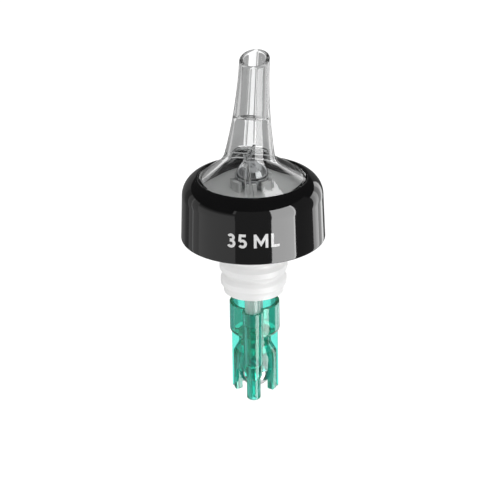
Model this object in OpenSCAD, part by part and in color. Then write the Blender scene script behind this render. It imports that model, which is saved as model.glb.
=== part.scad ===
// Measured bottle pourer with three steel balls: spout, collar, core, stopper and ball cage.
// Millimetres, +Z up along the stopper's axis, front at -Y. Z = 0 is the face that sits on the bottle's lip.

/* [Collar] */
// Outer radius of the collar at its lower edge
collar_r = 21; // [19.5:0.25:26]
// Radius that the collar's side loses between its lower edge and its shoulder
collar_draft = 0.45; // [0:0.05:1]
// Height of the collar
collar_h = 19.1; // [17:0.1:24]
// Radius of the rounded shoulder
collar_shoulder_r = 6; // [4:0.25:6.5]
// Width of the rolled top, from the collar's side to its opening
collar_top_w = 5.2; // [4.8:0.1:6]
// Depth of the lip's underside below the collar's top
collar_lip_t = 1.7; // [1.4:0.1:2.2]
// How far the spout's flange reaches under the lip
collar_lip_hold = 1.2; // [0.8:0.1:1.4]
// Wall round the stopper's flange
collar_wall = 2.2; // [1.4:0.1:3]
// Rounding of the collar's edges
collar_edge_r = 0.4; // [0.2:0.1:0.6]

/* [Stopper] */
// Radius of the sleeve between its ribs
stopper_r = 8.8; // [8.4:0.1:9.2]
// Length of the sleeve below the bottle's lip
stopper_len = 16.9; // [15:0.1:24]
// Wall of the sleeve
stopper_wall = 0.8; // [0.5:0.1:1.2]
// Thickness of the flange on the bottle's lip
flange_t = 2; // [1.2:0.1:3]
// Number of sealing ribs
rib_count = 3; // [2:1:4]
// Radius of the lowest rib
rib_r = 9.7; // [9.3:0.05:10]
// Radius that each rib gains over the one below
rib_growth = 0.3; // [0:0.05:0.5]
// Cylindrical land on each rib
rib_land = 1.6; // [1:0.1:2]
// Height of each sloping flank of a rib
rib_flank = 1.05; // [0.5:0.05:1.2]
// Middle of the lowest rib above the sleeve's end
rib_low = 3.55; // [2.5:0.05:4]
// Middle of the top rib below the bottle's lip
rib_high = 4.15; // [4:0.05:5]

/* [Core] */
// Thickness of the disc under the dome
disc_t = 2; // [1.4:0.1:3]
// Radius of the shoulder that stands on the stopper's flange
core_shoulder_r = 10.5; // [9:0.1:12]
// Height of that shoulder
core_shoulder_h = 1.6; // [1:0.1:3]
// Radius of the liquid bore in the plug
liquid_r = 4.5; // [3.5:0.1:4.8]
// Wall left below the liquid bore
plug_floor = 1.9; // [1.2:0.1:3]
// Outer radius of the spigot that carries the tail
spigot_r = 2.5; // [2.2:0.05:2.7]
// Bore radius of the spigot
spigot_bore_r = 1.8; // [1.4:0.05:1.9]
// Radius of the outlet hole that the outlet ball seats on
outlet_hole_r = 3.4; // [3:0.05:3.6]
// Inner radius of the castellated ring round the outlet ball
crown_r = 5.2; // [5:0.05:5.4]
// Wall of the castellated ring
crown_wall = 1.3; // [0.8:0.1:1.6]
// Height of the castellated ring
crown_h = 3; // [2:0.1:4]
// Number of slots in the ring
crown_slots = 8; // [4:1:10]
// Width of each slot
crown_slot_w = 1.8; // [1:0.1:2.2]

/* [Breather] */
// Distance of the breather from the stopper's axis, to the front
breather_y = 6.05; // [5.9:0.05:6.3]
// Radius of the air passage through the core
air_r = 0.9; // [0.6:0.05:1]
// Distance of the air inlet from the dome's inner wall
vent_in = 1; // [0.8:0.1:1.2]
// Radius of the air inlet
vent_r = 0.6; // [0.4:0.05:0.7]
// Forward tilt of the air inlet where it goes out through the dome's front
vent_tilt = 40; // [34:1:46]
// Radius of the pillar round the air inlet
pillar_r = 1.3; // [1.1:0.05:1.5]
// Radius of the breather tube below the stopper
tube_r = 2.33; // [2.1:0.01:2.4]
// Bore radius of the breather tube
tube_bore_r = 1; // [0.8:0.05:1.1]
// Radius of the breather tube's spigot in the core
tube_spigot_r = 1.5; // [1.3:0.05:1.6]
// Length of that spigot
tube_spigot_len = 7; // [4:0.5:9]
// How far the breather tube goes into the tail
tube_depth = 4.2; // [3:0.1:6]

/* [Spout] */
// Thickness of the spout's flange
spout_flange_t = 1.2; // [0.8:0.1:2]
// Height of the upright rim inside the collar's opening
rim_h = 1.2; // [0.8:0.1:1.4]
// Slope of the dome
dome_slope = 38; // [34:1:42]
// Wall of the dome
dome_wall = 1.6; // [1.2:0.1:1.8]
// Radius where the dome ends inside the chimney
dome_top_r = 4.8; // [4.6:0.1:5.2]
// How far the dome's cone goes up past the chimney's root
root_down = 0.1; // [0:0.05:0.4]
// Distance of the chimney's root from the axis, to the front
chimney_forward = 3.2; // [2.8:0.1:3.5]
// Lean of the chimney
chimney_lean = 17.5; // [12:0.5:20]
// Turn of the leaning chimney about the stopper's axis
chimney_turn = 8.5; // [0:0.5:12]
// Length of the chimney from its root to the middle of its mouth
chimney_len = 27.7; // [22:0.1:36]
// Radius of the chimney's foot on the dome
foot_r = 7.6; // [7:0.1:8]
// Radius at the chimney's root
root_r = 7.27; // [6.8:0.05:7.5]
// Radius at the mouth
mouth_r = 4.4; // [4.1:0.05:4.8]
// Height over which the foot narrows to the root
foot_taper = 1.8; // [1:0.1:2.5]
// How far below the root the dome's steep front runs into the foot
front_down = 1; // [0.6:0.1:1.4]
// How far below the root the cavity behind that front runs into the bore
front_bore_down = 2.2; // [1.8:0.1:2.6]
// Width of the rib behind the dome's front at its top
rib_top_w = 1.6; // [1.2:0.1:2]
// Bore radius at the chimney's root
root_bore_r = 5.9; // [5.7:0.05:6]
// Bore radius below the step
throat_r = 4.5; // [4.2:0.05:4.7]
// Bore radius above the step
step_bore_r = 3.75; // [3.6:0.05:3.9]
// Bore radius at the mouth
mouth_bore_r = 3.2; // [2.7:0.05:3.5]
// Distance from the chimney's root to the step in its bore
step_up = 10.5; // [8:0.25:14]
// Slope of the mouth, high at the back
mouth_slope = 13.5; // [0:0.5:30]
// Width of the bars that stop the outlet ball
stop_w = 1; // [0.8:0.1:1.4]
// Height of those bars
stop_h = 1.5; // [1:0.1:2]
// How far the bars lie above the dome's cavity
stop_up = 0.2; // [0.1:0.05:0.5]

/* [Tail] */
// Distance of the tail's axis from the stopper's axis, to the back
tail_y = 1.8; // [1.5:0.05:1.9]
// Gap between the stopper and the tail's cup
tail_gap = 4.4; // [3:0.1:7]
// Radius of the cup
cup_r = 7.33; // [7.1:0.05:7.6]
// Depth of the cup
cup_h = 9.7; // [8:0.1:12]
// Wall of the tail
tail_wall = 1.2; // [1:0.05:1.4]
// Rounding of the cup's lower edge
cup_edge_r = 1.5; // [0.5:0.1:2]
// Height of the neck under the cup
neck_h = 3.5; // [2.8:0.1:5]
// Height of the shoulder under the neck
shoulder_h = 3; // [2.5:0.1:4]
// Wall of the neck at the ball's seat
neck_wall = 0.74; // [0.6:0.02:1]
// How far the spigot reaches into the neck
spigot_depth = 1.4; // [1:0.1:2]
// Radius of the hole above the metering ball
valve_hole_r = 2.2; // [1.9:0.05:2.4]
// Length of that hole
valve_hole_h = 0.9; // [0.5:0.1:1.2]
// Radius of the wide end of the ball's seat, in the neck
valve_mouth_r = 4; // [3.7:0.05:4.1]
// Height of the ball's bore inside the shoulder
bore_rise = 0.8; // [0.6:0.05:1.2]
// Height of the closed barrel under the shoulder
barrel_h = 4.5; // [3:0.1:5.5]
// Travel of the metering ball from the toes to its seat
ball_travel = 5.85; // [4:0.05:8]
// Inner radius of the toes that the ball rests on
toe_r = 4.4; // [4:0.05:4.5]
// Height of the toes at the lower ends of the legs
toe_h = 3.2; // [2:0.1:4]
// Wall of the barrel and the legs
leg_wall = 1.4; // [1.2:0.05:1.6]
// Half width of the front window, in degrees
front_window = 57; // [45:1:64]
// Half width of the back window, in degrees
back_window = 50; // [30:1:55]
// Reach of the side fins from the tail's axis
fin_r = 6.75; // [6.6:0.05:7]
// Thickness of the side fins
fin_t = 1; // [0.7:0.1:1.4]

/* [Front tube] */
// Outer radius at the top
front_top_r = 3.16; // [3.1:0.02:3.3]
// Outer radius above the nozzle
front_low_r = 2.64; // [2.5:0.02:2.7]
// Length from the cup's top to the nozzle's shoulder
front_len = 19.7; // [16:0.1:24]
// Height of the rounded shoulder above the nozzle
front_shoulder_h = 1.9; // [1:0.1:2.5]
// Outer radius of the nozzle
nozzle_r = 2.04; // [1.7:0.02:2.2]
// Length of the nozzle
nozzle_len = 6.6; // [4:0.1:9]
// Chamfer at the nozzle's end
nozzle_chamfer = 0.5; // [0.2:0.05:0.8]
// Radius of the run for the breather ball
run_r = 1.9; // [1.75:0.05:2]
// Height of the run's lower end above the nozzle's shoulder
run_up = 2.8; // [1:0.1:4]
// Bore radius of the nozzle
nozzle_bore_r = 1; // [0.7:0.05:1.2]

/* [Balls] */
// Radius of the metering ball
metering_r = 4.7625; // [4.6:0.0125:4.8]
// Radius of the breather ball
breather_r = 1.5875; // [1.4:0.0125:1.6]
// Radius of the outlet ball
outlet_r = 4.7625; // [4.6:0.0125:4.8]

/* [Fits] */
// Gap round a piece pushed into another
push_gap = 0.05; // [0.02:0.01:0.1]
// Gap round the stacked discs in the collar
stack_gap = 0.2; // [0.1:0.05:0.4]
// Gap between a resting ball and its seat
seat_gap = 0.05; // [0.03:0.01:0.1]
// Gap round the metering ball in its cage
cage_gap = 0.19; // [0.12:0.01:0.3]
// Thickness of the gasket under the spout's flange
gasket_t = 0.6; // [0.4:0.1:1]

/* [Hidden] */
$fn = 96;
arc_steps = 8;
// Overlap that joins or cuts through a face cleanly
through = 0.5;

// Points on an arc round a centre, from one angle to another
function arc(x, y, r, from, to) =
    [for (i = [0:arc_steps]) [
        x + r * cos(from + (to - from) * i / arc_steps),
        y + r * sin(from + (to - from) * i / arc_steps)
    ]];
// Height of a ball's centre over the edge of a round hole that it rests on
function over_hole(ball_r, hole_r) = sqrt(ball_r * ball_r - hole_r * hole_r);

// Stack inside the collar, from the lip down
collar_opening_r = collar_r - collar_top_w;
stack_r = collar_opening_r + collar_lip_hold;
collar_inner_r = stack_r + stack_gap;
lip_z = collar_h - collar_lip_t;
spout_z = lip_z - spout_flange_t;
disc_z = spout_z - gasket_t;
flange_r = collar_r - collar_wall;
collar_top_r = collar_r - collar_draft;
shoulder_z = collar_h - collar_shoulder_r;
shoulder_x = collar_top_r - collar_shoulder_r;
lip_angle = acos((collar_opening_r + collar_edge_r - shoulder_x) / collar_shoulder_r);
lip_top_z = shoulder_z + collar_shoulder_r * sin(lip_angle);

// Stopper and plug
stopper_bore_r = stopper_r - stopper_wall;
plug_r = stopper_bore_r - push_gap;
rib_pitch = (stopper_len - rib_low - rib_high) / (rib_count - 1);
vent_boss_r = 2 * pillar_r;
air_turn_z = disc_z - disc_t - vent_boss_r;

// Dome and chimney
dome_r = collar_opening_r - stack_gap;
rim_z = lip_z + rim_h;
dome_top_z = rim_z + (dome_r - dome_top_r) * tan(dome_slope);
cavity_r = dome_r - dome_wall;
vent_y = cavity_r - vent_in;
cavity_top_r = dome_top_r - through;
cavity_drop = dome_wall / cos(dome_slope);
cavity_z = rim_z + dome_wall * tan(dome_slope) - cavity_drop;
cavity_top_z = cavity_z + (cavity_r - cavity_top_r) * tan(dome_slope);
root_z = dome_top_z - root_down;
foot_drop = (root_z - lip_z) / cos(chimney_lean) - through;
bore_drop = (root_z - cavity_top_z) / cos(chimney_lean) + root_bore_r * tan(chimney_lean);

// Outlet ball between its seat and the bars
outlet_z = disc_z + over_hole(outlet_r, outlet_hole_r) + seat_gap;
stop_z = cavity_top_z + stop_up;
outlet_travel = stop_z - outlet_r - seat_gap - outlet_z;
stop_forward = chimney_forward + (root_z - stop_z) * tan(chimney_lean);
stop_reach = root_bore_r + dome_wall / 2;

// Heights down the tail
plug_z = -stopper_len;
cup_z = plug_z - tail_gap;
cup_low_z = cup_z - cup_h;
cup_floor_z = cup_low_z + tail_wall;
spigot_z = cup_low_z - spigot_depth;
valve_z = spigot_z - valve_hole_h;
valve_low_z = valve_z - (valve_mouth_r - valve_hole_r);
neck_r = valve_mouth_r + neck_wall;
neck_z = cup_low_z - neck_h;
barrel_z = neck_z - shoulder_h;
window_z = barrel_z - barrel_h;
bore_z = barrel_z + bore_rise;
bore_r = metering_r + cage_gap;
barrel_r = bore_r + leg_wall;

// Metering ball: seated in the cone of 45 degrees over it, and resting on the toes
seated_z = valve_z + valve_hole_r - metering_r * sqrt(2) - seat_gap;
metering_z = seated_z - ball_travel;
toe_z = metering_z - over_hole(metering_r, toe_r) - seat_gap;
leg_z = toe_z - toe_h;

// Front tube and breather ball
tube_z = cup_z - tube_depth;
tube_socket_r = tube_r + push_gap;
front_z = cup_z - front_len;
nozzle_z = front_z - front_shoulder_h;
front_end_z = nozzle_z - nozzle_len;
run_z = front_z + run_up;
breather_z = run_z - run_r + breather_r * sqrt(2) + seat_gap;
breather_travel = tube_z - over_hole(breather_r, tube_bore_r) - seat_gap - breather_z;
echo(metering_z = metering_z, metering_travel = ball_travel);
echo(breather_z = breather_z, breather_travel = breather_travel);
echo(outlet_z = outlet_z, outlet_travel = outlet_travel);
echo(lowest = front_end_z, legs = leg_z, toes = toe_z, seated = seated_z);

// White sleeve with sealing ribs and the flange that sits on the bottle's lip
module stopper() {
    ribs = [for (i = [0:rib_count - 1]) each [
        [stopper_r, plug_z + rib_low + i * rib_pitch - rib_land / 2 - rib_flank],
        [rib_r + i * rib_growth, plug_z + rib_low + i * rib_pitch - rib_land / 2],
        [rib_r + i * rib_growth, plug_z + rib_low + i * rib_pitch + rib_land / 2],
        [stopper_r, plug_z + rib_low + i * rib_pitch + rib_land / 2 + rib_flank]
    ]];
    color("whitesmoke")
    rotate_extrude()
    polygon(concat(
        [[stopper_bore_r, flange_t], [stopper_bore_r, plug_z], [stopper_r, plug_z]],
        ribs,
        [[stopper_r, 0], [flange_r - push_gap, 0], [flange_r - push_gap, flange_t]]
    ));
}

// Ring of short posts that keeps the outlet ball over its hole
module crown() {
    difference() {
        translate([0, 0, disc_z - through])
        cylinder(r = crown_r + crown_wall, h = crown_h + through);
        translate([0, 0, disc_z - 2 * through])
        cylinder(r = crown_r, h = crown_h + 3 * through);
        for (i = [0:crown_slots - 1])
            rotate([0, 0, (i + 0.5) * 360 / crown_slots])
            translate([0, -crown_slot_w / 2, disc_z])
            cube([crown_r + 2 * crown_wall, crown_slot_w, crown_h + through]);
    }
}

// Natural moulding: disc, plug inside the stopper, spigot for the tail and the air passage
module core() {
    vent_back = vent_y - breather_y;
    color("gainsboro")
    difference() {
        union() {
            translate([0, 0, disc_z - disc_t])
            cylinder(r = stack_r, h = disc_t);
            crown();
            translate([0, 0, plug_z])
            cylinder(r = plug_r, h = disc_z - plug_z - disc_t / 2);
            translate([0, 0, flange_t])
            cylinder(r = core_shoulder_r, h = core_shoulder_h);
            translate([0, tail_y, spigot_z])
            cylinder(r = spigot_r, h = plug_z - spigot_z + through);
            translate([0, -vent_y, air_turn_z - vent_boss_r])
            cylinder(r = vent_boss_r, h = 2 * vent_boss_r + disc_t / 2);
            translate([-pillar_r, -vent_y, air_turn_z - vent_boss_r])
            cube([2 * pillar_r, vent_back, 2 * vent_boss_r + disc_t / 2]);
        }
        translate([0, 0, disc_z - disc_t - through])
        cylinder(r = outlet_hole_r, h = disc_t + 2 * through);
        translate([0, tail_y, plug_z + plug_floor])
        cylinder(r = liquid_r, h = disc_z - disc_t - plug_z - plug_floor);
        translate([0, tail_y, spigot_z - through])
        cylinder(r = spigot_bore_r, h = plug_z + plug_floor - spigot_z + 2 * through);
        translate([0, -vent_y, air_turn_z])
        cylinder(r = vent_r, h = disc_z - air_turn_z + through);
        translate([0, -breather_y, air_turn_z])
        rotate([90, 0, 0])
        cylinder(r = vent_r, h = vent_back);
        translate([0, -breather_y, plug_z - through])
        cylinder(r = air_r, h = air_turn_z - plug_z + through);
        translate([0, -breather_y, plug_z - through])
        cylinder(r = tube_spigot_r + push_gap, h = tube_spigot_len + 2 * through);
    }
}

// Short translucent tube from the core into the tail's front tube
module breather_tube() {
    color("white", 0.7)
    translate([0, -breather_y, 0])
    difference() {
        union() {
            translate([0, 0, tube_z])
            cylinder(r = tube_r, h = plug_z - tube_z);
            translate([0, 0, plug_z])
            cylinder(r = tube_spigot_r, h = tube_spigot_len);
        }
        translate([0, 0, tube_z - through])
        cylinder(r = tube_bore_r, h = plug_z - tube_z + tube_spigot_len + 2 * through);
    }
}

// Flat seal between the spout's flange and the core's disc
module dome_gasket() {
    color("lightgray")
    translate([0, 0, disc_z])
    difference() {
        cylinder(r = stack_r, h = gasket_t);
        translate([0, 0, -through])
        cylinder(r = vent_y + pillar_r + stack_gap, h = gasket_t + 2 * through);
    }
}

// Places its children on the chimney's leaning axis, with the root at the origin
module on_chimney() {
    rotate([0, 0, -chimney_turn])
    translate([0, -chimney_forward, root_z])
    rotate([-chimney_lean, 0, 0])
    children();
}

// Everything above the sloping mouth
module above_mouth() {
    size = 4 * mouth_r;
    on_chimney()
    translate([0, 0, chimney_len])
    rotate([chimney_lean + mouth_slope, 0, 0])
    translate([-size / 2, -size / 2, 0])
    cube(size);
}

// Pillar under the dome that stands on the core's disc round the air inlet
module pillar() {
    translate([0, -vent_y, disc_z])
    cylinder(r = pillar_r, h = rim_z - disc_z);
}

// Rib that runs from the pillar up the dome's front to the chimney's foot
module front_rib() {
    hull() {
        translate([0, -vent_y, lip_z])
        cylinder(r = pillar_r - stack_gap, h = rim_z - lip_z - stack_gap, $fn = 32);
        on_chimney()
        translate([0, -(foot_r + root_bore_r) / 2, -front_bore_down])
        cylinder(r = rib_top_w / 2, h = through, $fn = 32);
    }
}

// Straight run between a disc on the stopper's axis and a disc on the chimney's axis
module front_run(low_r, low_z, low_h, high_r, down) {
    hull() {
        translate([0, 0, low_z])
        cylinder(r = low_r, h = low_h, $fn = 48);
        on_chimney()
        translate([0, 0, -down - through])
        cylinder(r = high_r, h = through, $fn = 48);
    }
}

// Clear moulding: flange, dome and leaning chimney, with the pillar of the air inlet
module spout() {
    over = mouth_r * tan(chimney_lean + mouth_slope) + through;
    color("white", 0.35)
    difference() {
        union() {
            rotate_extrude()
            polygon([
                [0, spout_z], [stack_r, spout_z], [stack_r, lip_z], [dome_r, lip_z],
                [dome_r, rim_z], [dome_top_r, dome_top_z], [0, dome_top_z]
            ]);
            front_run(dome_r, lip_z, rim_h, foot_r, front_down);
            on_chimney()
            rotate_extrude()
            polygon([
                [0, -foot_drop], [foot_r, -foot_drop], [foot_r, -foot_taper],
                each [for (i = [0:arc_steps]) [
                    mouth_r + (root_r - mouth_r) * pow(1 - i / arc_steps, 2),
                    chimney_len * i / arc_steps
                ]],
                [mouth_r, chimney_len + over], [0, chimney_len + over]
            ]);
            pillar();
        }
        difference() {
            union() {
                rotate_extrude()
                polygon([
                    [0, 0], [cavity_r, 0], [cavity_r, cavity_z],
                    [cavity_top_r, cavity_top_z], [0, cavity_top_z]
                ]);
                front_run(cavity_r, 0, cavity_z, root_bore_r, front_bore_down);
                on_chimney()
                rotate_extrude()
                polygon([
                    [0, -bore_drop], [root_bore_r, -bore_drop], [root_bore_r, 0],
                    [throat_r, step_up], [step_bore_r, step_up],
                    [mouth_bore_r, chimney_len], [mouth_bore_r, chimney_len + 2 * over],
                    [0, chimney_len + 2 * over]
                ]);
            }
            rotate([0, 0, -chimney_turn])
            translate([0, -stop_forward, stop_z + stop_h / 2])
            for (turn = [0, 90])
                rotate([0, 0, turn])
                cube([2 * stop_reach, stop_w, stop_h], center = true);
            pillar();
            front_rib();
        }
        translate([0, -vent_y, disc_z - through])
        cylinder(r = vent_r, h = lip_z - disc_z + through);
        translate([0, -vent_y, lip_z - vent_r])
        rotate([vent_tilt, 0, 0])
        cylinder(r = vent_r, h = pillar_r + rim_h + dome_wall + through);
        above_mouth();
    }
}

// Gloss shell that holds the stack together
module collar() {
    color("#101010")
    rotate_extrude()
    polygon(concat(
        arc(collar_r - collar_edge_r, collar_edge_r, collar_edge_r, -90, 0),
        arc(shoulder_x, shoulder_z, collar_shoulder_r, 0, lip_angle),
        arc(collar_opening_r + collar_edge_r, lip_top_z - collar_edge_r, collar_edge_r, 90, 180),
        [
            [collar_opening_r, lip_z], [collar_inner_r, lip_z], [collar_inner_r, flange_t],
            [flange_r, flange_t], [flange_r, 0]
        ]
    ));
}

// Wedge that opens the cage to the front, between the legs
module window(half_angle) {
    size = 2 * fin_r;
    translate([0, 0, leg_z - through])
    linear_extrude(window_z - leg_z + through)
    polygon([
        [0, 0], [-size * sin(half_angle), -size * cos(half_angle)], [0, -2 * size],
        [size * sin(half_angle), -size * cos(half_angle)]
    ]);
}

// Cup, neck, shoulder and legs as one turned wall, with its windows and side fins
module cage() {
    difference() {
        union() {
            rotate_extrude()
            polygon(concat(
                [[0, leg_z], [barrel_r, leg_z], [barrel_r, barrel_z], [neck_r, neck_z], [neck_r, cup_low_z]],
                arc(cup_r - cup_edge_r, cup_low_z + cup_edge_r, cup_edge_r, -90, 0),
                [[cup_r, cup_z], [0, cup_z]]
            ));
            translate([-fin_r, -fin_t / 2, leg_z])
            cube([2 * fin_r, fin_t, cup_floor_z - leg_z]);
            translate([-fin_t / 2, -breather_y - tail_y, barrel_z])
            cube([fin_t, breather_y + tail_y, cup_floor_z - barrel_z]);
        }
        rotate_extrude()
        polygon([
            [0, cup_z + through], [cup_r - tail_wall, cup_z + through], [cup_r - tail_wall, cup_floor_z],
            [spigot_r + push_gap, cup_floor_z], [spigot_r + push_gap, spigot_z], [valve_hole_r, spigot_z],
            [valve_hole_r, valve_z], [valve_mouth_r, valve_low_z], [bore_r, bore_z],
            [bore_r, toe_z], [toe_r, toe_z], [toe_r, leg_z - through], [0, leg_z - through]
        ]);
        window(front_window);
        rotate([0, 0, 180])
        window(back_window);
    }
}

// Green moulding: cup and ball cage, with the breather's front tube and nozzle
module tail_cage() {
    color("mediumseagreen", 0.7)
    difference() {
        union() {
            translate([0, tail_y, 0])
            cage();
            translate([0, -breather_y, 0])
            rotate_extrude()
            polygon(concat(
                [[0, front_end_z], [nozzle_r - nozzle_chamfer, front_end_z], [nozzle_r, front_end_z + nozzle_chamfer]],
                [[nozzle_r, nozzle_z]],
                [for (i = [1:arc_steps]) [
                    nozzle_r + (front_low_r - nozzle_r) * sin(90 * i / arc_steps),
                    front_z - front_shoulder_h * cos(90 * i / arc_steps)
                ]],
                [[front_top_r, cup_z], [0, cup_z]]
            ));
        }
        translate([0, -breather_y, 0])
        rotate_extrude()
        polygon([
            [0, front_end_z - through], [nozzle_bore_r, front_end_z - through],
            [nozzle_bore_r, run_z - run_r + nozzle_bore_r], [run_r, run_z],
            [run_r, tube_z - push_gap], [tube_socket_r, tube_z - push_gap],
            [tube_socket_r, cup_z + through], [0, cup_z + through]
        ]);
    }
}

// Polished steel ball that shuts off the measure
module metering_ball() {
    color("silver")
    translate([0, tail_y, metering_z])
    sphere(metering_r);
}

// Small steel ball in the front tube
module breather_ball() {
    color("silver")
    translate([0, -breather_y, breather_z])
    sphere(breather_r);
}

// Steel ball over the outlet hole under the dome
module outlet_ball() {
    color("silver")
    translate([0, 0, outlet_z])
    sphere(outlet_r);
}

stopper();
core();
breather_tube();
dome_gasket();
spout();
collar();
tail_cage();
metering_ball();
breather_ball();
outlet_ball();
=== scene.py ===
"""Measured bottle pourer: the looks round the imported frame. Metres in the scene, millimetres in the sizes."""

import bmesh
import bpy
import numpy as np
from mathutils import Matrix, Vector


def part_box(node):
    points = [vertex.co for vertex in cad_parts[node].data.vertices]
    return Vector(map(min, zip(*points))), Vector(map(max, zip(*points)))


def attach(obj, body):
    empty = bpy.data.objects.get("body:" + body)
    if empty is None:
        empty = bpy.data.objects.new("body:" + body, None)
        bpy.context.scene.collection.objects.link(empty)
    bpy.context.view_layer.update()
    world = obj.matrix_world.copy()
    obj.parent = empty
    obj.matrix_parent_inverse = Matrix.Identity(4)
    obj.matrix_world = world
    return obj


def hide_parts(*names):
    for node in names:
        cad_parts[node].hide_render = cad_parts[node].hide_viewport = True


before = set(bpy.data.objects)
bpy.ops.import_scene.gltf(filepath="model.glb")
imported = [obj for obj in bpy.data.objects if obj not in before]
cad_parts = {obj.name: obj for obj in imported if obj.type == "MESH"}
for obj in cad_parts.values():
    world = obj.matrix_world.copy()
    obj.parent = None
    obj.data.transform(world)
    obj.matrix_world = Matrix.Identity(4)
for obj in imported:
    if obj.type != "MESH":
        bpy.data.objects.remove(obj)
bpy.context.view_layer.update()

# Core
# A natural polypropylene moulding that everything hangs on: its disc is the pale floor under the dome,
# its plug fills the stopper and its spigot carries the tail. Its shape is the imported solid, shaded round.
mm = 0.001
weld_step = 1e-6
core_crease = 35
mix_factor = 0
mix_first = 6
mix_second = 7
mix_result = 2


class Wire:
    """One output of a shader node, or a bare tree to start from: arithmetic on it adds Math nodes, and
    add() brings in any other node."""

    def __init__(self, tree, socket=None):
        self.tree = tree
        self.socket = socket

    def add(self, kind, settings, inputs, output=0):
        """Adds a node of that type, makes its settings, then fills its sockets with values or wires."""
        node = self.tree.nodes.new(kind)
        for key, value in settings.items():
            setattr(node, key, value)
        for key, value in inputs.items():
            if isinstance(value, Wire):
                self.tree.links.new(value.socket, node.inputs[key])
            else:
                node.inputs[key].default_value = value
        return Wire(self.tree, node.outputs[output])

    def math(self, operation, first, second):
        """Adds one Math node on two values or wires."""
        return self.add("ShaderNodeMath", {"operation": operation}, {0: first, 1: second})

    def __add__(self, other):
        return self.math("ADD", self, other)

    def __mul__(self, other):
        return self.math("MULTIPLY", self, other)

    __radd__ = __add__
    __rmul__ = __mul__


def moulded(name, colour, tint, rough, cloud_scale, grain_scale, grain, constants):
    """Moulded finish: cloudy noise moves the colour towards tint and the roughness across rough,
    and fine noise, grain metres high, is the skin left by the mould."""
    material = bpy.data.materials.new(name)
    material.use_nodes = True
    tree = material.node_tree
    shader = tree.nodes["Principled BSDF"]
    for socket, value in constants.items():
        shader.inputs[socket].default_value = value
    place = Wire(tree).add("ShaderNodeTexCoord", {}, {}, "Object")
    cloud = place.add("ShaderNodeTexNoise", {}, {"Vector": place, "Scale": cloud_scale, "Detail": 3.0})
    skin = place.add("ShaderNodeTexNoise", {}, {"Vector": place, "Scale": grain_scale, "Detail": 2.0})
    shade = place.add(
        "ShaderNodeMix",
        {"data_type": "RGBA"},
        {mix_factor: cloud, mix_first: (*colour, 1.0), mix_second: (*tint, 1.0)},
        mix_result,
    )
    roughness = rough[0] + cloud * (rough[1] - rough[0])
    bump = place.add("ShaderNodeBump", {}, {"Distance": grain, "Strength": 1.0, "Height": skin})
    tree.links.new(shade.socket, shader.inputs["Base Color"])
    tree.links.new(roughness.socket, shader.inputs["Roughness"])
    tree.links.new(bump.socket, shader.inputs["Normal"])
    return material


def piece_of(name, mesh, material):
    """Object at the origin for a finished mesh."""
    mesh.materials.append(material)
    piece = bpy.data.objects.new(name, mesh)
    bpy.context.scene.collection.objects.link(piece)
    return piece


def shaded_copy(node, name, crease, material):
    """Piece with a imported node's shape: its corners are welded, and faces that meet at less than crease
    look round."""
    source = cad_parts[node].data
    points = np.empty(len(source.vertices) * 3)
    source.vertices.foreach_get("co", points)
    corners = np.empty(len(source.loops), dtype=np.int64)
    source.loops.foreach_get("vertex_index", corners)
    _, first, place = np.unique(
        np.round(points.reshape(-1, 3) / weld_step), axis=0, return_index=True, return_inverse=True
    )
    faces = place.reshape(-1)[corners].reshape(-1, 3)
    mesh = bpy.data.meshes.new(name)
    mesh.from_pydata(points.reshape(-1, 3)[first].tolist(), [], faces.tolist())
    mesh.validate()
    mesh.shade_smooth()
    mesh.set_sharp_from_angle(angle=np.radians(crease))
    return piece_of(name, mesh, material)


natural = moulded(
    "natural_plastic",
    colour=(0.84, 0.85, 0.84), tint=(0.88, 0.89, 0.88), rough=(0.32, 0.45),
    cloud_scale=180.0, grain_scale=2500.0, grain=4e-6,
    constants={
        "IOR": 1.49,
        "Subsurface Weight": 0.2, "Subsurface Radius": (1.0, 1.0, 1.0), "Subsurface Scale": 0.001,
    },
)
core = shaded_copy("core", "core_moulding", core_crease, natural)
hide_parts("core")
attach(core, "pourer")

# Stopper
# A soft white polyethylene sleeve pushed up over the core's plug: round sealing ribs squeeze into the
# bottle's neck, and the flange at its top lies on the bottle's lip.
turn_steps = 192
bend_steps = 6
guard = 0.12
guard_share = 0.25
stopper_r = 8.8
stopper_bore_r = 8.0
stopper_len = 16.9
stopper_crease = 50
bore_top_bend = 0.1
bore_foot_bend = 0.25
foot_bend = 0.3
neck_bend = 0.4
flange_r = 18.75
flange_t = 2.0
flange_bend = 0.2
rib_middles = (-13.35, -8.75, -4.15)
rib_radii = (9.7, 10.0, 10.3)
rib_half_land = 0.8
rib_flank = 1.05
rib_bend = 0.25
rib_root_bend = 0.5


def rounded(corners):
    """Closed outline through corners (x, y, bend): each corner becomes an arc of radius bend that touches
    both of its sides, with a guard point beside each end of the arc so that straight stretches stay so."""
    outline = []
    for k, (x, y, bend) in enumerate(corners):
        here = np.array([x, y])
        before = np.array(corners[k - 1][:2]) - here
        after = np.array(corners[(k + 1) % len(corners)][:2]) - here
        spans = np.linalg.norm(before), np.linalg.norm(after)
        before, after = before / spans[0], after / spans[1]
        half = np.arccos(np.clip(before @ after, -1.0, 1.0)) / 2
        reach = bend / np.tan(half)
        middle = here + (before + after) / np.linalg.norm(before + after) * bend / np.sin(half)
        start, end = here + before * reach - middle, here + after * reach - middle
        sweep = np.pi - 2 * half
        step = np.linspace(0, 1, bend_steps + 1)[:, None]
        arc = middle + (np.sin((1 - step) * sweep) * start + np.sin(step * sweep) * end) / np.sin(sweep)
        margin = [min(guard, guard_share * (span - reach)) for span in spans]
        outline += [arc[0] + before * margin[0], *arc, arc[-1] + after * margin[1]]
    return np.array(outline)


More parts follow.
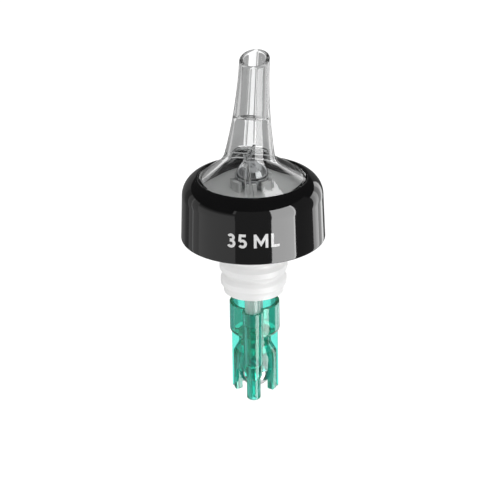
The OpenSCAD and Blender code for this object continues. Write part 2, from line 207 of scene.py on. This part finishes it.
def turned(outline, middle=(0.0, 0.0), steps=turn_steps):
    """Grid of an outline (r, z) turned round a vertical axis: (x0 + r cos a, y0 + r sin a, z)."""
    a = np.linspace(0, 2 * np.pi, steps, endpoint=False)
    r, z = outline[:, :1], outline[:, 1:]
    return np.stack([middle[0] + r * np.cos(a), middle[1] + r * np.sin(a), z + 0 * a], axis=-1)


def skin_of(name, grid, crease, material, ring=True):
    """Piece over a grid [row, column, xyz] in millimetres: columns close on themselves, rows too where
    ring is true, and a row that shrinks to a point is welded into a pole."""
    rows, columns = grid.shape[:2]
    i = np.arange(rows if ring else rows - 1)[:, None]
    j = np.arange(columns)[None, :]
    up, on = (i + 1) % rows, (j + 1) % columns
    quads = np.stack([i * columns + j, i * columns + on, up * columns + on, up * columns + j], axis=-1)
    mesh = bpy.data.meshes.new(name)
    mesh.from_pydata((grid.reshape(-1, 3) * mm).tolist(), [], quads.reshape(-1, 4).tolist())
    work = bmesh.new()
    work.from_mesh(mesh)
    bmesh.ops.remove_doubles(work, verts=work.verts, dist=weld_step)
    bmesh.ops.recalc_face_normals(work, faces=work.faces)
    work.to_mesh(mesh)
    work.free()
    mesh.shade_smooth()
    mesh.set_sharp_from_angle(angle=np.radians(crease))
    return piece_of(name, mesh, material)


soft_white = moulded(
    "stopper_white",
    colour=(0.91, 0.91, 0.905), tint=(0.94, 0.94, 0.935), rough=(0.45, 0.58),
    cloud_scale=150.0, grain_scale=2200.0, grain=5e-6,
    constants={
        "IOR": 1.4,
        "Subsurface Weight": 0.3, "Subsurface Radius": (1.0, 1.0, 1.0), "Subsurface Scale": 0.002,
    },
)
stopper_corners = [
    (stopper_bore_r, flange_t, bore_top_bend),
    (stopper_bore_r, -stopper_len, bore_foot_bend),
    (stopper_r, -stopper_len, foot_bend),
]
for rib_z, rib_r in zip(rib_middles, rib_radii):
    stopper_corners += [
        (stopper_r, rib_z - rib_half_land - rib_flank, rib_root_bend),
        (rib_r, rib_z - rib_half_land, rib_bend),
        (rib_r, rib_z + rib_half_land, rib_bend),
        (stopper_r, rib_z + rib_half_land + rib_flank, rib_root_bend),
    ]
stopper_corners += [
    (stopper_r, 0.0, neck_bend), (flange_r, 0.0, flange_bend), (flange_r, flange_t, flange_bend)
]
stopper = skin_of("stopper_sleeve", turned(rounded(stopper_corners)), stopper_crease, soft_white)
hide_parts("stopper")
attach(stopper, "pourer")

# Breather tube
# A short translucent tube: its thin spigot is pushed up into the core's air passage and its lower end
# sits in the tail's front tube, where it also stops the breather ball.
breather_y = -6.05
tube_r = 2.33
tube_bore_r = 1.0
tube_spigot_r = 1.5
tube_top = -9.9
tube_low = -25.5
tube_bend = 0.1
tube_bore_bend = 0.15
tube_foot_bend = 0.25
tube_steps = 96
tube_crease = 50

milky = moulded(
    "tube_natural",
    colour=(0.80, 0.94, 0.90), tint=(0.84, 0.96, 0.92), rough=(0.2, 0.3),
    cloud_scale=300.0, grain_scale=2500.0, grain=2e-6,
    constants={"IOR": 1.45, "Transmission Weight": 0.72},
)
tube_corners = [
    (tube_bore_r, tube_top, tube_bend), (tube_bore_r, tube_low, tube_bore_bend),
    (tube_r, tube_low, tube_foot_bend), (tube_r, -stopper_len, tube_bend),
    (tube_spigot_r, -stopper_len, tube_bend), (tube_spigot_r, tube_top, tube_bend),
]
tube_grid = turned(rounded(tube_corners), (0.0, breather_y), tube_steps)
breather_tube = skin_of("breather_pipe", tube_grid, tube_crease, milky)
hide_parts("breather_tube")
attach(breather_tube, "pourer")

# Tail
# Transparent green styrene in one moulding: a cup round the core's spigot, a neck, the cage of the metering
# ball with its two legs and fins, and the breather's front tube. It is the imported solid, shaded round.
tail_crease = 28
dye_colour = (0.0, 0.86, 0.76, 1.0)
dye_density = 260.0

green = moulded(
    "green_plastic",
    colour=(0.19, 0.89, 0.765), tint=(0.22, 0.91, 0.79), rough=(0.06, 0.10),
    cloud_scale=160.0, grain_scale=900.0, grain=7e-7,
    constants={
        "IOR": 1.49, "Transmission Weight": 0.96, "Specular IOR Level": 0.1,
        "Coat Weight": 0.03, "Coat Roughness": 0.05,
    },
)
green_tree = green.node_tree
dye = Wire(green_tree).add("ShaderNodeVolumeAbsorption", {}, {"Color": dye_colour, "Density": dye_density})
green_tree.links.new(dye.socket, green_tree.nodes["Material Output"].inputs["Volume"])
tail = shaded_copy("tail_cage", "tail_moulding", tail_crease, green)
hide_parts("tail_cage")
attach(tail, "pourer")

# Steel balls
# Polished bearing balls, loose in the tail: the large one rests on the cage's toes and rises to shut off
# the measure, and the small one lies at the bottom of the front tube.
large_ball_r = 4.7625
small_ball_r = 1.5875
ball_rows = 48
ball_crease = 60

steel = moulded(
    "polished_steel",
    colour=(0.48, 0.49, 0.50), tint=(0.54, 0.55, 0.56), rough=(0.08, 0.16),
    cloud_scale=500.0, grain_scale=4000.0, grain=1e-6,
    constants={"Metallic": 1.0},
)


def ball_in(node, name, radius):
    """Sphere in the middle of an imported ball: (r sin p cos a, r sin p sin a, r cos p) from pole to pole."""
    low, high = (np.array(corner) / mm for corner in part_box(node))
    p = np.linspace(0, np.pi, ball_rows + 1)[:, None]
    a = np.linspace(0, 2 * np.pi, 2 * ball_rows, endpoint=False)[None, :]
    sphere = np.stack([np.sin(p) * np.cos(a), np.sin(p) * np.sin(a), np.cos(p) + 0 * a], axis=-1)
    return skin_of(name, (low + high) / 2 + radius * sphere, ball_crease, steel, ring=False)


for node, radius, body in (
    ("metering_ball", large_ball_r, "metering"),
    ("breather_ball", small_ball_r, "breather"),
):
    ball = ball_in(node, node + "_steel", radius)
    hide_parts(node)
    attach(ball, body)

# Outlet ball and gasket
# A third steel ball, as large as the metering ball, lies over the core's outlet hole inside the castellated
# ring, and a flat black seal lies on the edge of the core's disc under the spout's flange.
disc_z = 15.6
gasket_t = 0.6
gasket_r = 17.0
gasket_hole_r = 14.5
gasket_bend = 0.1
gasket_crease = 50

outlet_ball = ball_in("outlet_ball", "outlet_ball_steel", large_ball_r)
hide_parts("outlet_ball")
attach(outlet_ball, "outlet")

seal = moulded(
    "gasket_rubber",
    colour=(0.02, 0.02, 0.02), tint=(0.035, 0.035, 0.035), rough=(0.5, 0.7),
    cloud_scale=300.0, grain_scale=3000.0, grain=6e-6,
    constants={"IOR": 1.5},
)
gasket_corners = [
    (gasket_hole_r, disc_z, gasket_bend), (gasket_r, disc_z, gasket_bend),
    (gasket_r, disc_z + gasket_t, gasket_bend), (gasket_hole_r, disc_z + gasket_t, gasket_bend),
]
gasket = skin_of("gasket_ring", turned(rounded(gasket_corners)), gasket_crease, seal)
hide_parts("dome_gasket")
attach(gasket, "pourer")

# Spout
# Clear polished styrene in one moulding: a flange under the collar's lip, a low dome and a leaning chimney
# that flares down into it with a soft fillet. A fine parting line runs up its front and back.
spout_columns = 288
spout_crease = 32
flange_low_z = 16.2
lip_z = 17.4
dome_r = 15.6
rim_z = 18.6
dome_slope = np.radians(38.0)
cavity_r = 14.0
cavity_z = 17.82
cavity_edge = 0.1
spout_edge = 0.15
root = np.array([0.0, -3.2, 26.94])
chimney_lean = np.radians(17.5)
chimney_turn = np.radians(8.5)
chimney_len = 27.7
root_r = 7.27
flare_low = -1.8
mouth_r = 4.4
mouth_slope = np.radians(13.5)
mouth_bore_r = 3.2
step_up = 10.5
step_bore_r = 3.75
step_soft = 0.35
throat_r = 4.5
root_bore_r = 5.9
front_down = 1.0
back_up = 0.6
softening = 1.0
rim_down = 0.1
rim_dip = 1.1
rim_bend = 0.3
rim_share = 0.02
fillet = 1.4
bore_fillet = 1.2
lip_bend = 0.55
seam_height = 0.05
seam_width = 0.13
seam_rise = 6
meeting_span = (-12.0, 8.0)
meeting_halvings = 40
rim_rows = 5
dome_row_count = 12
stem_row_count = 44
upper_row_count = 24
step_row_count = 4
lower_row_count = 16
cavity_row_count = 14

around = np.linspace(0, 2 * np.pi, spout_columns, endpoint=False)
axis = np.array([0.0, np.sin(chimney_lean), np.cos(chimney_lean)])
outward = np.cos(around)[:, None] * np.array([1.0, 0.0, 0.0])
outward = outward + np.sin(around)[:, None] * np.array([0.0, np.cos(chimney_lean), -np.sin(chimney_lean)])


def flare(t):
    """Outer radius along the chimney: mouth + (root - mouth) (1 - t / length) squared, and even from
    flare_low down."""
    return mouth_r + (root_r - mouth_r) * (1 - np.maximum(t, flare_low) / chimney_len) ** 2


def lower_bore(t):
    """Bore radius below the step: even below the root, and narrowing evenly from there to the throat."""
    return np.interp(t, [0, step_up], [root_bore_r, throat_r])


def upper_bore(t):
    """Bore radius above the step, narrowing evenly to the mouth."""
    return np.interp(t, [step_up, chimney_len], [step_bore_r, mouth_bore_r])


def on_chimney(t, radius):
    """Row round the leaning axis: root + t axis + radius outward, for one value or one per column."""
    t, radius = np.broadcast_to(t, around.shape), np.broadcast_to(radius, around.shape)
    return root + t[:, None] * axis + radius[:, None] * outward


def dome_meeting():
    """Place t along the chimney where each column of its outside meets the dome's cone, found by halving
    the interval."""
    low, high = (np.full(spout_columns, end) for end in meeting_span)
    for _ in range(meeting_halvings):
        middle = (low + high) / 2
        row = on_chimney(middle, flare(middle))
        over = row[:, 2] > rim_z + (dome_r - np.hypot(row[:, 0], row[:, 1])) * np.tan(dome_slope)
        low, high = np.where(over, low, middle), np.where(over, middle, high)
    return (low + high) / 2


def larger(first, second):
    """Soft maximum: half of a + b + the root of (a - b) squared + softening."""
    return (first + second + np.sqrt((first - second) ** 2 + softening)) / 2


def smaller(first, second):
    """Soft minimum: a + b less their soft maximum."""
    return first + second - larger(first, second)


def straight(first, last, shares):
    """Rows at the given shares of the straight lines from the first row to the last one."""
    return [first + (last - first) * np.reshape(share, (-1, 1)) for share in shares]


def circle(r, z):
    """Row round the stopper's axis."""
    return np.stack([r * np.cos(around), r * np.sin(around), np.full(spout_columns, z)], axis=-1)


def bent(first, corner, last, steps=8):
    """Rows on a parabola that leaves the first row towards the corner and reaches the last row from it:
    (1 - k) squared first + 2 k (1 - k) corner + k squared last."""
    shares = np.linspace(0, 1, steps + 1)
    return [(1 - k) ** 2 * first + 2 * k * (1 - k) * corner + k ** 2 * last for k in shares]


def mouth_t(radius):
    """Place along the chimney where the sloping mouth cuts a given radius."""
    return chimney_len + radius * np.sin(around) * np.tan(chimney_lean + mouth_slope)


outer_t = smaller(larger(dome_meeting(), -front_down), back_up)
outer_row = on_chimney(outer_t, flare(outer_t))
rim_row = circle(dome_r, rim_z)
rim_low_row = circle(dome_r, rim_z - rim_bend)
run = np.linalg.norm(outer_row - rim_row, axis=1)
dome_rows = straight(rim_row, outer_row, np.linspace(rim_share, 1 - fillet / run, dome_row_count))

stem_low = outer_t + fillet
stem_top = mouth_t(mouth_r) - lip_bend
fillet_end = on_chimney(stem_low, flare(stem_low))
seam = seam_height * np.exp(-((np.abs(np.cos(around)) * mouth_r / seam_width) ** 2))
stem_rows = []
for share in np.linspace(0.0, 1.0, stem_row_count)[1:]:
    t = stem_low + share * (stem_top - stem_low)
    stem_rows.append(on_chimney(t, flare(t) + seam * min(1.0, seam_rise * share)))

lip_r = mouth_r - lip_bend
lip_bore_r = mouth_bore_r + lip_bend
bore_top = mouth_t(mouth_bore_r) - lip_bend
lip_rows = bent(stem_rows[-1], on_chimney(mouth_t(mouth_r), mouth_r), on_chimney(mouth_t(lip_r), lip_r))
lip_rows += bent(
    on_chimney(mouth_t(lip_bore_r), lip_bore_r),
    on_chimney(mouth_t(mouth_bore_r), mouth_bore_r),
    on_chimney(bore_top, mouth_bore_r),
)

inner_t = -rim_down - rim_dip * np.cos(around) ** 2
inner_row = on_chimney(inner_t, lower_bore(inner_t))
bore_low = inner_t + bore_fillet
step_low = step_up - step_soft
step_middle = on_chimney(step_up, (step_bore_r + throat_r) / 2)
bore_rows = []
for share in np.linspace(0.0, 1.0, upper_row_count)[1:-1]:
    t = bore_top + share * (step_up - bore_top)
    bore_rows.append(on_chimney(t, upper_bore(t)))
bore_rows += bent(
    on_chimney(step_up + step_soft, step_bore_r),
    on_chimney(step_up + step_soft / 2, step_bore_r),
    step_middle,
    step_row_count,
)
bore_rows += bent(
    step_middle,
    on_chimney(step_up - step_soft / 2, throat_r),
    on_chimney(step_low, throat_r),
    step_row_count,
)[1:]
for share in np.linspace(0.0, 1.0, lower_row_count)[1:]:
    t = step_low + share * (bore_low - step_low)
    bore_rows.append(on_chimney(t, lower_bore(t)))

cavity_row = circle(cavity_r, cavity_z)
cavity_run = np.linalg.norm(inner_row - cavity_row, axis=1)
cavity_shares = np.linspace(1 - bore_fillet / cavity_run, 0 * cavity_run, cavity_row_count)
cavity_rows = straight(cavity_row, inner_row, cavity_shares)
cavity_rows = bent(bore_rows[-1], inner_row, cavity_rows[0])[1:-1] + cavity_rows
spout_rows = [
    circle(cavity_r, flange_low_z + cavity_edge), circle(cavity_r + cavity_edge, flange_low_z),
    circle(gasket_r - spout_edge, flange_low_z), circle(gasket_r, flange_low_z + spout_edge),
    circle(gasket_r, lip_z - spout_edge), circle(gasket_r - spout_edge, lip_z),
    circle(dome_r + spout_edge, lip_z), circle(dome_r, lip_z + spout_edge),
    rim_low_row, *bent(rim_low_row, rim_row, dome_rows[0], rim_rows)[1:-1],
    *dome_rows, *bent(dome_rows[-1], outer_row, fillet_end)[1:],
    *stem_rows, *lip_rows, *bore_rows, *cavity_rows,
]


def turned_spout(grid):
    """Grid turned about the stopper's axis by the spout's turn in the collar."""
    c, k = np.cos(chimney_turn), np.sin(chimney_turn)
    x, y, z = grid[..., 0], grid[..., 1], grid[..., 2]
    return np.stack([x * c + y * k, y * c - x * k, z], axis=-1)


clear = moulded(
    "clear_plastic",
    colour=(0.95, 0.955, 0.955), tint=(0.97, 0.975, 0.975), rough=(0.0, 0.02),
    cloud_scale=120.0, grain_scale=700.0, grain=1.5e-6,
    constants={"IOR": 1.5, "Transmission Weight": 1.0},
)
spout = skin_of("spout_moulding", turned_spout(np.array(spout_rows)), spout_crease, clear)
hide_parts("spout")
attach(spout, "pourer")

# Rib and bars of the spout
# Parts of the clear moulding inside it: a pillar round the air inlet that goes on as a rib up the dome's
# front, and two crossed bars in the chimney's root that stop the outlet ball.
pillar_r = 1.3
vent_y = 13.0
rib_top_r = 0.5
rib_top_t = 0.5
rib_foot_gap = 0.05
rib_bend_down = 0.2
bar_w = 1.0
bar_h = 1.5
bar_z = 25.6
bar_reach = 6.9
bar_bend = 0.2
inner_crease = 40


def tube_along(path, radii, columns=32):
    """Closed rod of level circles with the given radii round a path, with a point at either end."""
    a = np.linspace(0, 2 * np.pi, columns, endpoint=False)
    ring = np.stack([np.cos(a), np.sin(a), 0 * a], axis=-1)
    return np.array(path)[:, None, :] + np.array(radii)[:, None, None] * ring


front = np.array([0.0, -np.cos(chimney_lean), np.sin(chimney_lean)])
rib_top = turned_spout(root + rib_top_t * axis + (root_r + root_bore_r) / 2 * front)
rib_foot = np.array([0.0, -vent_y, disc_z + rib_foot_gap])
rib_bend_point = np.array([0.0, -vent_y, rim_z - rib_bend_down])
rib_path = [rib_foot, rib_foot, rib_bend_point, rib_top, rib_top]
rib_grid = tube_along(rib_path, [0.0, pillar_r, pillar_r, rib_top_r, 0.0])
rib = skin_of("spout_rib", rib_grid, inner_crease, clear, ring=False)
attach(rib, "pourer")

bar_middle = root + (bar_z + bar_h / 2 - root[2]) * np.array([0.0, np.tan(chimney_lean), 1.0])
bar_outline = rounded([
    (-bar_w / 2, -bar_h / 2, bar_bend), (bar_w / 2, -bar_h / 2, bar_bend),
    (bar_w / 2, bar_h / 2, bar_bend), (-bar_w / 2, bar_h / 2, bar_bend),
])
bar_shares = np.array([0.0, 1.0, 1.0, 0.0])[:, None]
bar_along = np.array([-bar_reach, -bar_reach, bar_reach, bar_reach])[:, None] + 0 * bar_outline[:, 0]
across, rise = bar_shares * bar_outline[:, 0], bar_shares * bar_outline[:, 1]
bar_grids = (
    np.stack([bar_along, across, rise], axis=-1),
    np.stack([across, bar_along, rise], axis=-1),
)
for number, bar_grid in enumerate(bar_grids, 1):
    bar_placed = turned_spout(bar_middle + bar_grid)
    bar = skin_of("spout_bar_%d" % number, bar_placed, inner_crease, clear, ring=False)
    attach(bar, "pourer")

# Collar
# A gloss black shell snapped down over the whole stack: a straight, slightly tapered side, a broad rolled
# shoulder and a lip that holds the spout's flange.
collar_r = 21.0
collar_draft = 0.45
collar_steps = 256
collar_crease = 40
shoulder_r = 6.0
shoulder_z = 13.1
opening_r = 15.8
edge_r = 0.4
inner_edge = 0.05
collar_inner_r = 17.2
shoulder_points = 40
bead_points = 10
side_points = 12
foot_points = 8


def arc_points(x, z, r, angles):
    """Points on a circle: (x + r cos a, z + r sin a) for the given angles."""
    return np.stack([x + r * np.cos(angles), z + r * np.sin(angles)], axis=-1)


shoulder_x = collar_r - collar_draft - shoulder_r
lip_angle = np.arccos((opening_r + edge_r - shoulder_x) / shoulder_r)
shoulder = arc_points(shoulder_x, shoulder_z, shoulder_r, np.linspace(0.0, lip_angle, shoulder_points))
lip_x, lip_top_z = shoulder[-1]
lip_edge = arc_points(lip_x, lip_top_z - edge_r, edge_r, np.linspace(np.pi / 2, np.pi, bead_points))
side_r = np.linspace(collar_r, collar_r - collar_draft, side_points)
side_z = np.linspace(0.0, shoulder_z, side_points)
collar_side = np.stack([side_r, side_z], axis=-1)[1:-1]
foot_edge = arc_points(collar_r - edge_r, edge_r, edge_r, np.linspace(-np.pi / 2, 0.0, foot_points))
inside = np.array([
    (opening_r, lip_z + inner_edge), (opening_r + inner_edge, lip_z),
    (collar_inner_r - inner_edge, lip_z), (collar_inner_r, lip_z - inner_edge),
    (collar_inner_r, flange_t + inner_edge), (collar_inner_r + inner_edge, flange_t),
    (flange_r, flange_t), (flange_r + inner_edge, flange_t - inner_edge),
    (flange_r + inner_edge, inner_edge), (flange_r + 2 * inner_edge, 0.0),
    (collar_r - edge_r - 2 * inner_edge, 0.0),
])
collar_outline = np.concatenate([foot_edge, collar_side, shoulder, lip_edge[1:], inside])
gloss_black = moulded(
    "gloss_black",
    colour=(0.003, 0.003, 0.0032), tint=(0.005, 0.005, 0.0052), rough=(0.03, 0.07),
    cloud_scale=140.0, grain_scale=500.0, grain=1.5e-6,
    constants={"IOR": 1.5},
)
collar = skin_of("collar_shell", turned(collar_outline, steps=collar_steps), collar_crease, gloss_black)
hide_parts("collar")
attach(collar, "pourer")

# Printed measure
# A plain measure printed in white ink on the front of the collar: each stroke of its letters is a thin
# film that follows the collar's round side.
print_base_z = 5.25
print_middle = 7.75
print_shift = 1.45
print_film = 0.03
print_lift = 0.004
print_crease = 40
stroke_w = 0.8
stroke_points = 6
bow_points = 24


def bow(x, z, r, start, end):
    """Points on a circle round (x, z) between two angles in degrees."""
    return arc_points(x, z, r, np.radians(np.linspace(start, end, bow_points))).tolist()


def printed(path, lift):
    """Grid of a stroke: the path moved sideways by half its width, along the bisector at a corner, then
    laid round the collar as (r sin a, -r cos a, z) with a = x / collar radius, and closed to a point at
    either end."""
    path = np.array(path)
    legs = [np.linspace(start, end, stroke_points)[:-1] for start, end in zip(path[:-1], path[1:])]
    points = np.concatenate([*legs, path[-1:]])
    step = np.diff(points, axis=0)
    side = np.stack([-step[:, 1], step[:, 0]], axis=-1) / np.linalg.norm(step, axis=1)[:, None]
    before, after = np.concatenate([side[:1], side]), np.concatenate([side, side[-1:]])
    bisector = (before + after) / np.linalg.norm(before + after, axis=1)[:, None]
    reach = bisector * stroke_w / 2 / np.sum(bisector * before, axis=1)[:, None]
    flat = np.stack([points + reach, points - reach, points - reach, points + reach], axis=1)
    z = print_base_z + flat[..., 1]
    r = collar_r - collar_draft * z / shoulder_z + lift + print_film * np.array([-0.5, -0.5, 0.5, 0.5])
    a = (flat[..., 0] - print_middle + print_shift) / collar_r
    grid = np.stack([r * np.sin(a), -r * np.cos(a), z], axis=-1)
    ends = np.repeat(grid[[0, -1]].mean(axis=1, keepdims=True), 4, axis=1)
    return np.concatenate([ends[:1], grid, ends[1:]])


ink = moulded(
    "white_ink",
    colour=(0.62, 0.62, 0.62), tint=(0.68, 0.68, 0.68), rough=(0.4, 0.55),
    cloud_scale=600.0, grain_scale=3000.0, grain=3e-6,
    constants={"IOR": 1.5},
)
strokes = (
    [*bow(1.2, 3.08, 0.75, 150, -90), (0.85, 2.33)],
    [(0.85, 2.2), *bow(1.2, 1.25, 0.92, 90, -150)],
    [(5.6, 3.8), (3.95, 3.8), (3.8, 2.0)],
    bow(4.55, 1.3, 0.95, 140, -145),
    [(8.3, 0.0), (8.3, 4.2)],
    [(11.7, 0.0), (11.7, 4.2)],
    [(8.4, 3.85), (10.0, 1.2), (11.6, 3.85)],
    [(13.4, 4.2), (13.4, 0.4), (15.5, 0.4)],
)
for number, stroke in enumerate(strokes):
    stroke_grid = printed(stroke, print_lift * number)
    letter = skin_of("printed_stroke_%d" % (number + 1), stroke_grid, print_crease, ink, ring=False)
    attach(letter, "pourer")

# Studio
# A pale floor well below the part, an even white room, one soft lamp, and curved boards outside the
# picture. Only gloss sees the first of them, a bright softbox at the right, grey flags and a dark canopy,
# and only clear plastic sees the others, the screens that stand all round, under and over it.
white = (1.0, 1.0, 1.0, 1.0)
floor_z = -0.32
floor_size = 4.0
floor_colour = (0.9, 0.9, 0.9, 1.0)
floor_roughness = 0.9
floor_glow = 0.32
room_light = 0.82
room_seen = 1.0
panel_distance = 0.3
panel_columns = 25
panel_rows = 17
lamp_place = np.array([0.15, -0.45, 0.7])
lamp_size = 0.5
lamp_energy = 2.4
bounces = 32


def lit(name, strength):
    """Plain white glow for a panel."""
    material = bpy.data.materials.new(name)
    material.use_nodes = True
    tree = material.node_tree
    tree.nodes.clear()
    glow = Wire(tree).add("ShaderNodeEmission", {}, {"Color": white, "Strength": strength})
    tree.links.new(glow.socket, tree.nodes.new("ShaderNodeOutputMaterial").inputs["Surface"])
    return material


def panel(name, azimuths, heights, strength, shine=True, through=True):
    """Patch of a sphere round the part: azimuth from the front towards +X and height above the horizon,
    in degrees."""
    a = np.radians(np.linspace(*azimuths, panel_columns))[None, :]
    e = np.radians(np.linspace(*heights, panel_rows))[:, None]
    patch = np.stack([np.sin(a) * np.cos(e), -np.cos(a) * np.cos(e), np.sin(e) + 0 * a], axis=-1)
    i = np.arange(panel_rows - 1)[:, None] * panel_columns + np.arange(panel_columns - 1)[None, :]
    quads = np.stack([i, i + 1, i + panel_columns + 1, i + panel_columns], axis=-1).reshape(-1, 4)
    mesh = bpy.data.meshes.new(name)
    mesh.from_pydata((patch * panel_distance).reshape(-1, 3).tolist(), [], quads.tolist())
    board = piece_of(name, mesh, lit(name, strength))
    board.visible_camera = False
    board.visible_diffuse = False
    board.visible_shadow = False
    board.visible_glossy = shine
    board.visible_transmission = through


for name, azimuths, heights, strength in (
    ("right_softbox", (32.4, 70.2), (-60, 36), 8.0),
    ("softbox_edge", (70.2, 72.8), (-60, 36), 11.0),
    ("front_flag", (-23.8, 32.4), (-60, 36), 0.22),
    ("right_flag", (72.8, 113), (-60, 36), 0.17),
    ("back_strip_1", (113, 121), (-60, 20), 2.5),
    ("back_strip_2", (121, 131), (-60, 20), 3.0),
    ("back_strip_3", (131, 143), (-60, 20), 1.3),
    ("back_strip_4", (143, 153), (-60, 20), 2.4),
    ("right_edge_flag", (153, 178), (-60, 20), 0.15),
    ("left_edge_flag", (-170, -132), (-60, 20), 0.25),
    ("left_flag_1", (-132, -118), (-60, 20), 0.17),
    ("left_flag_2", (-118, -107), (-60, 20), 0.5),
    ("left_flag_3", (-104, -90), (-60, 20), 0.62),
    ("left_wall", (-90, -23.8), (-60, 8), 0.9),
    ("left_wall_fade_1", (-90, -23.8), (8, 12), 0.6),
    ("left_wall_fade_2", (-90, -23.8), (12, 16), 0.35),
    ("left_wall_fade_3", (-90, -23.8), (16, 20), 0.15),
    ("canopy_left", (-110, -28), (20, 90), 0.04),
    ("canopy_right", (-28, 110), (36, 90), 0.04),
    ("canopy_back", (110, 250), (20, 90), 0.04),
):
    panel(name, azimuths, heights, strength, through=False)
for name, azimuths, heights, strength in (
    ("screen_left_high", (-172.4, -134), (-22, 0), 0.38),
    ("screen_right_high", (142, 182.1), (-22, 0), 0.38),
    ("screen_left", (-169, -134), (-75, -22), 0.42),
    ("screen_right", (142, 177), (-75, -22), 0.42),
    ("screen_flank_left_high", (-134, -28), (-22, 0), 0.6),
    ("screen_flank_left", (-134, -28), (-75, -22), 0.4),
    ("screen_front", (-28, 28.6), (-75, 0), 0.4),
    ("screen_flank_right_high", (28.6, 142), (-22, 0), 0.6),
    ("screen_flank_right", (28.6, 142), (-75, -22), 0.45),
    ("screen_low_front", (-80, 28.6), (0, 40), 0.1),
    ("screen_low_right", (72.8, 135), (0, 40), 0.15),
    ("screen_low_back_right", (135, 164), (0, 40), 0.95),
    ("screen_low_back", (164, 204), (0, 40), 0.1),
    ("screen_low_back_left", (204, 233), (0, 40), 0.95),
    ("screen_low_left", (233, 280), (0, 40), 0.15),
    ("screen_softbox", (28.6, 72.8), (0, 40), 1.6),
    ("screen_top", (-180, 180), (40, 90), 0.68),
):
    panel(name, azimuths, heights, strength, shine=False)


def seen_directly(tree):
    """Wire that is 1 for rays from the camera, off gloss and through clear plastic, and 0 for all others."""
    seen = Wire(tree).add("ShaderNodeLightPath", {}, {}, "Is Camera Ray")
    rays = seen.socket.node.outputs
    for kind in ("Is Glossy Ray", "Is Transmission Ray"):
        seen = seen.math("MAXIMUM", seen, Wire(tree, rays[kind]))
    return seen


world = bpy.data.worlds.new("studio")
bpy.context.scene.world = world
world.use_nodes = True
air = world.node_tree
air.nodes.clear()
level = room_light + seen_directly(air) * (room_seen - room_light)
glow = level.add("ShaderNodeBackground", {}, {"Color": white, "Strength": level})
air.links.new(glow.socket, air.nodes.new("ShaderNodeOutputWorld").inputs["Surface"])

half = floor_size / 2
floor_corners = [(x, y, floor_z) for x, y in ((-half, -half), (half, -half), (half, half), (-half, half))]
floor_mesh = bpy.data.meshes.new("studio_floor")
floor_mesh.from_pydata(floor_corners, [], [(0, 1, 2, 3)])
floor_paint = bpy.data.materials.new("studio_floor")
floor_paint.use_nodes = True
floor_tree = floor_paint.node_tree
paint = floor_tree.nodes["Principled BSDF"]
paint.inputs["Base Color"].default_value = floor_colour
paint.inputs["Roughness"].default_value = floor_roughness
seen = seen_directly(floor_tree)
glow = seen.add("ShaderNodeEmission", {}, {"Color": white, "Strength": seen * floor_glow})
both = seen.add("ShaderNodeAddShader", {}, {0: Wire(floor_tree, paint.outputs[0]), 1: glow})
floor_tree.links.new(both.socket, floor_tree.nodes["Material Output"].inputs["Surface"])
piece_of("studio_floor", floor_mesh, floor_paint)


def facing(place, target, roll):
    """Matrix of a lamp or camera at a place, looking at a target and rolled about that line."""
    back = (place - target) / np.linalg.norm(place - target)
    level_right = np.cross([0.0, 0.0, 1.0], back)
    level_right /= np.linalg.norm(level_right)
    right = np.cos(roll) * level_right + np.sin(roll) * np.cross(back, level_right)
    matrix = np.eye(4)
    matrix[:3] = np.stack([right, np.cross(back, right), back, place], axis=-1)
    return Matrix(matrix)


lamp = bpy.data.lights.new("key_softbox", "AREA")
lamp.shape = "RECTANGLE"
lamp.size = lamp_size
lamp.size_y = lamp_size
lamp.energy = lamp_energy
key = bpy.data.objects.new("key_softbox", lamp)
bpy.context.scene.collection.objects.link(key)
key.matrix_world = facing(lamp_place, np.zeros(3), 0.0)
key.visible_glossy = False
key.visible_camera = False

light_paths = bpy.context.scene.cycles
light_paths.max_bounces = bounces
light_paths.transmission_bounces = bounces
light_paths.glossy_bounces = bounces

# Camera
# A long lens a metre away, looking down at the part from a little to its right and rolled by under a degree.
camera_aim = np.array([-0.871, -1.675, -3.669]) * mm
camera_distance = 1.0
camera_height = np.radians(23.7)
camera_azimuth = np.radians(4.0)
camera_roll = np.radians(-0.8)
camera_lens = 247.2
camera_sensor = 36.0

camera_line = np.array([
    np.sin(camera_azimuth) * np.cos(camera_height),
    -np.cos(camera_azimuth) * np.cos(camera_height),
    np.sin(camera_height),
])
lens = bpy.data.cameras.new("camera")
lens.lens = camera_lens
lens.sensor_width = camera_sensor
lens.sensor_fit = "HORIZONTAL"
camera = bpy.data.objects.new("camera", lens)
bpy.context.scene.collection.objects.link(camera)
camera.matrix_world = facing(camera_aim + camera_line * camera_distance, camera_aim, camera_roll)
bpy.context.scene.camera = camera
bpy.context.scene.view_settings.view_transform = "Standard"
